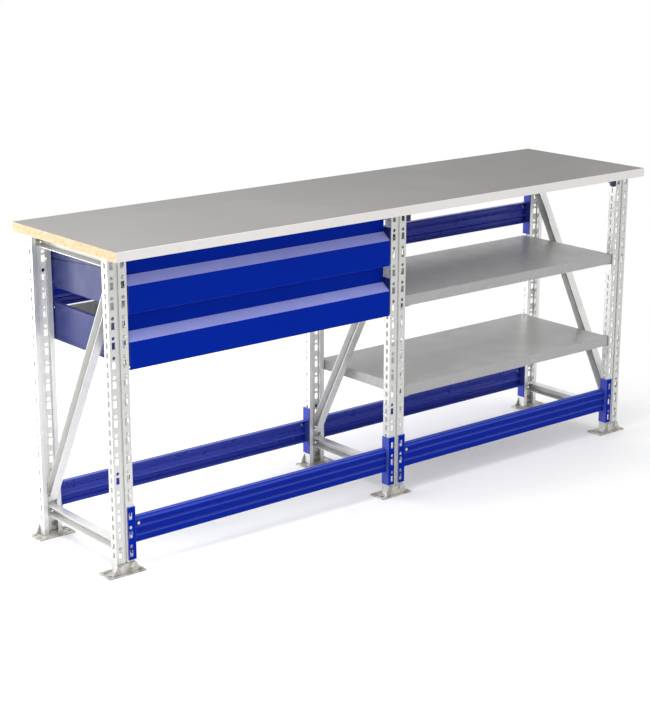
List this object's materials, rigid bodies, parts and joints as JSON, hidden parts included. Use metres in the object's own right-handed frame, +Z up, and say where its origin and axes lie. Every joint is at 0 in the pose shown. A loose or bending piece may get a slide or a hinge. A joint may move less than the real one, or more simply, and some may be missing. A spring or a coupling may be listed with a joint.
{
  "type": "workbench with drawers",
  "caption": "Long workbench on perforated steel frames with ribbed beams, side-hung drawers under one half of the top and open shelves under the other.",
  "frame": {"origin": "on the floor under the middle of the worktop", "axes": "+X along the bench to the right seen from the drawer side, +Y from the front to the rear, +Z up"},
  "size_m": [1.94, 0.49, 0.85],
  "materials": {
    "raw_chipboard": "raw cut chipboard",
    "grey_laminate": "fine matt laminate",
    "pale_edging": "satin edging",
    "dark_bracket_steel": "dark coat",
    "zinc_fastener": "zinc plated",
    "blue_powder_coat": "satin powder coat",
    "slide_steel": "bright zinc",
    "grey_drawer_steel": "satin powder coat",
    "grey_powder_coat": "satin powder coat",
    "galvanised_foot": "galvanised",
    "galvanised_steel": "galvanised"
  },
  "bodies": {
    "bench": {"beam_lock_pins": "zinc_fastener", "brace_pins": "zinc_fastener", "foot_bolts": "zinc_fastener", "left_diagonal": "galvanised_steel", "left_front_foot": "galvanised_foot", "left_front_lower_beam": "blue_powder_coat", "left_front_lower_beam_connectors": "blue_powder_coat", "left_front_upright": "galvanised_steel", "left_lower_cross_channel": "galvanised_steel", "left_rear_foot": "galvanised_foot", "left_rear_lower_beam": "blue_powder_coat", "left_rear_lower_beam_connectors": "blue_powder_coat", "left_rear_upper_beam": "blue_powder_coat", "left_rear_upper_beam_connectors": "blue_powder_coat", "left_rear_upright": "galvanised_steel", "left_upper_cross_channel": "galvanised_steel", "lower_drawer_fixed_rails": "slide_steel", "lower_drawer_left_side_plate": "blue_powder_coat", "lower_drawer_right_side_plate": "blue_powder_coat", "lower_shelf": "grey_powder_coat", "middle_diagonal": "galvanised_steel", "middle_front_foot": "galvanised_foot", "middle_front_upright": "galvanised_steel", "middle_lower_cross_channel": "galvanised_steel", "middle_rear_foot": "galvanised_foot", "middle_rear_upright": "galvanised_steel", "middle_upper_cross_channel": "galvanised_steel", "right_diagonal": "galvanised_steel", "right_front_foot": "galvanised_foot", "right_front_lower_beam": "blue_powder_coat", "right_front_lower_beam_connectors": "blue_powder_coat", "right_front_upright": "galvanised_steel", "right_lower_cross_channel": "galvanised_steel", "right_rear_foot": "galvanised_foot", "right_rear_lower_beam": "blue_powder_coat", "right_rear_lower_beam_connectors": "blue_powder_coat", "right_rear_upper_beam": "blue_powder_coat", "right_rear_upper_beam_connectors": "blue_powder_coat", "right_rear_upright": "galvanised_steel", "right_upper_cross_channel": "galvanised_steel", "shelf_clips": "zinc_fastener", "side_plate_bolts": "zinc_fastener", "upper_drawer_fixed_rails": "slide_steel", "upper_drawer_left_side_plate": "blue_powder_coat", "upper_drawer_right_side_plate": "blue_powder_coat", "upper_shelf": "grey_powder_coat", "worktop_board": "raw_chipboard", "worktop_brackets": "dark_bracket_steel", "worktop_edge_strip": "pale_edging", "worktop_laminate": "grey_laminate", "worktop_screws": "zinc_fastener"},
    "upper_drawer": {"upper_drawer_front": "blue_powder_coat", "upper_drawer_tray": "grey_drawer_steel", "upper_drawer_drawer_rails": "slide_steel"},
    "lower_drawer": {"lower_drawer_front": "blue_powder_coat", "lower_drawer_tray": "grey_drawer_steel", "lower_drawer_drawer_rails": "slide_steel"},
    "upper_slide_middles": {"upper_drawer_middle_members": "slide_steel"},
    "lower_slide_middles": {"lower_drawer_middle_members": "slide_steel"}
  },
  "joints": [
    {"name": "upper_drawer_slide", "type": "slide", "parent": "bench", "child": "upper_drawer", "axis": [0, -1, 0], "range_m": [0, 0.28]},
    {"name": "upper_slide_middle", "type": "slide", "parent": "bench", "child": "upper_slide_middles", "axis": [0, -1, 0], "range_m": [0, 0.14]},
    {"name": "lower_drawer_slide", "type": "slide", "parent": "bench", "child": "lower_drawer", "axis": [0, -1, 0], "range_m": [0, 0.28]},
    {"name": "lower_slide_middle", "type": "slide", "parent": "bench", "child": "lower_slide_middles", "axis": [0, -1, 0], "range_m": [0, 0.14]}
  ],
  "couplings": [
    {"joint": "upper_slide_middle", "follows": "upper_drawer_slide", "ratio": 0.5},
    {"joint": "lower_slide_middle", "follows": "lower_drawer_slide", "ratio": 0.5}
  ]
}
